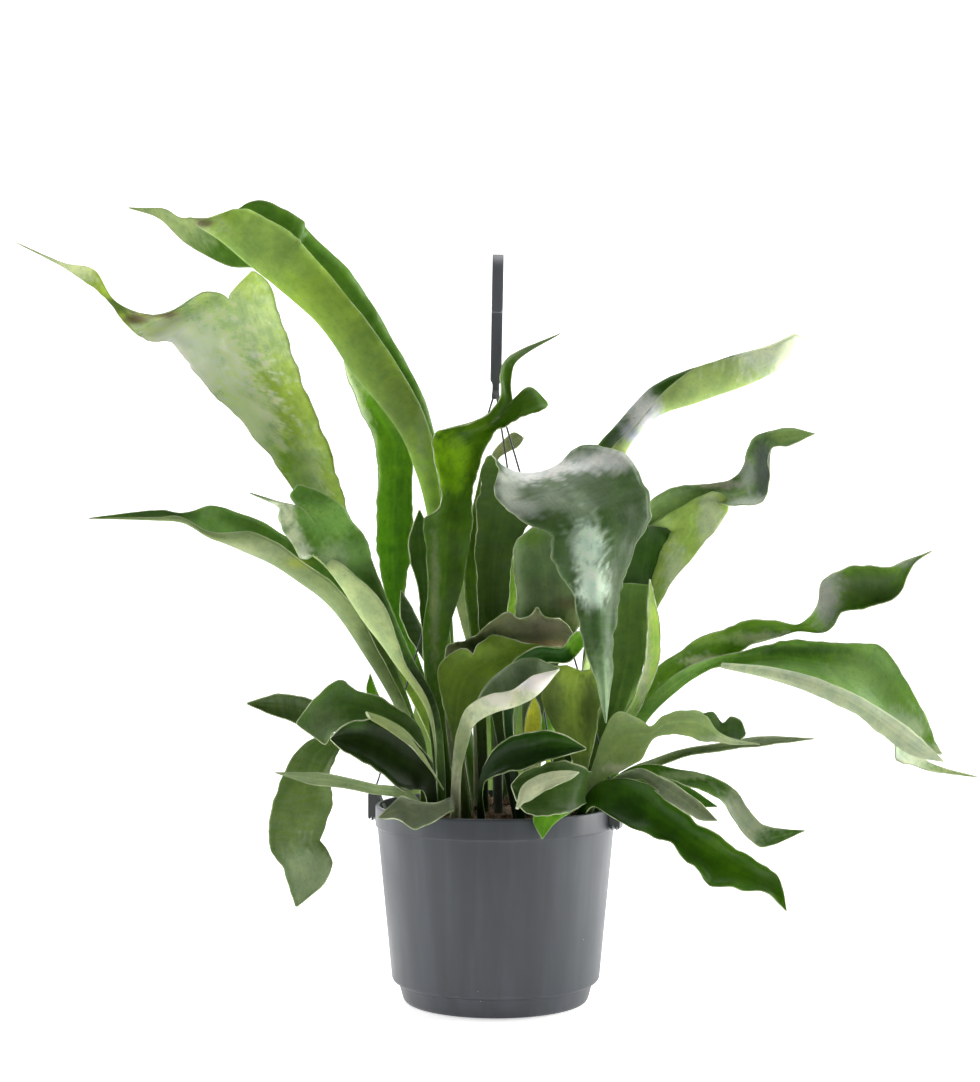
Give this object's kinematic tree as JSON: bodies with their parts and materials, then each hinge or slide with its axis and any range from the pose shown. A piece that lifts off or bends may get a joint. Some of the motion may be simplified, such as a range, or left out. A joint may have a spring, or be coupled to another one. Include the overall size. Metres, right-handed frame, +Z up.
{
  "type": "staghorn fern in a hanging pot",
  "caption": "Staghorn fern with long, strap-like, forking and arching fronds, growing from a round plastic hanging pot with a wire hanger and an open top hook.",
  "frame": {"origin": "centre of the flat underside of the pot, on the surface the pot stands on", "axes": "+Z up through the pot's axis and the hanger; -Y toward the front of the plant; +X to the right as seen from the front"},
  "size_m": [0.6701, 0.309, 0.5637],
  "materials": {
    "pot_plastic": "satin slate grey",
    "hook_plastic": "matte mid grey",
    "clip_plastic": "satin grey",
    "wire": "dark coated wire",
    "potting_mix": "damp bark and peat",
    "fern_crown": "fibrous brown",
    "frond_deep_green": "leathery, thin pale down",
    "frond_scurfy_green": "leathery, silvery down",
    "frond_bright_green": "leathery, lit through",
    "frond_olive": "leathery",
    "frond_sage": "felted underside",
    "frond_cream_green": "pale felted underside"
  },
  "bodies": {
    "root": {"crown_back": "fern_crown", "crown_left": "fern_crown", "crown_right": "fern_crown", "frond_back_arching": "frond_deep_green", "frond_back_left": "frond_deep_green", "frond_back_right": "frond_bright_green", "frond_back_tall": "frond_deep_green", "frond_back_upright": "frond_bright_green", "frond_behind_drooping": "frond_deep_green", "frond_centre_bright": "frond_bright_green", "frond_centre_drooping": "frond_scurfy_green", "frond_centre_olive": "frond_olive", "frond_centre_right_olive": "frond_olive", "frond_centre_ruffled": "frond_scurfy_green", "frond_centre_tall": "frond_deep_green", "frond_far_right": "frond_scurfy_green", "frond_front_left": "frond_deep_green", "frond_front_pale": "frond_cream_green", "frond_left_dark_tip": "frond_sage", "frond_left_folded": "frond_deep_green", "frond_left_front": "frond_scurfy_green", "frond_left_hanging": "frond_sage", "frond_left_mid": "frond_olive", "frond_left_shaded": "frond_deep_green", "frond_mid_left": "frond_bright_green", "frond_narrow_rolled": "frond_olive", "frond_pale_fan": "frond_bright_green", "frond_right_front_large": "frond_bright_green", "frond_right_low": "frond_bright_green", "frond_right_pale": "frond_sage", "frond_right_ruffled": "frond_scurfy_green", "frond_right_shaded": "frond_deep_green", "frond_right_slim": "frond_olive", "frond_right_small_green": "frond_bright_green", "frond_right_small_grey": "frond_scurfy_green", "frond_right_twisted": "frond_deep_green", "frond_right_upright": "frond_deep_green", "frond_right_waved": "frond_deep_green", "frond_slim_shaded": "frond_olive", "frond_upper_left": "frond_olive", "frond_upper_right": "frond_deep_green", "frond_young": "frond_sage", "hanger_hook": "hook_plastic", "hanger_wire_back": "wire", "hanger_wire_front_right": "wire", "hanger_wire_left": "wire", "hanging_pot": "pot_plastic", "leaf_left_narrow": "frond_cream_green", "leaf_low_centre": "frond_scurfy_green", "leaf_low_front": "frond_cream_green", "leaf_low_tip": "frond_deep_green", "leaf_over_rim": "frond_deep_green", "leaf_pale_between": "frond_cream_green", "leaf_small_left": "frond_bright_green", "leaf_teal_back": "frond_scurfy_green", "leaf_tiny_back": "frond_bright_green", "potting_mix": "potting_mix", "rim_clip_back": "clip_plastic", "rim_clip_front_right": "clip_plastic", "rim_clip_left": "clip_plastic"}
  },
  "joints": []
}
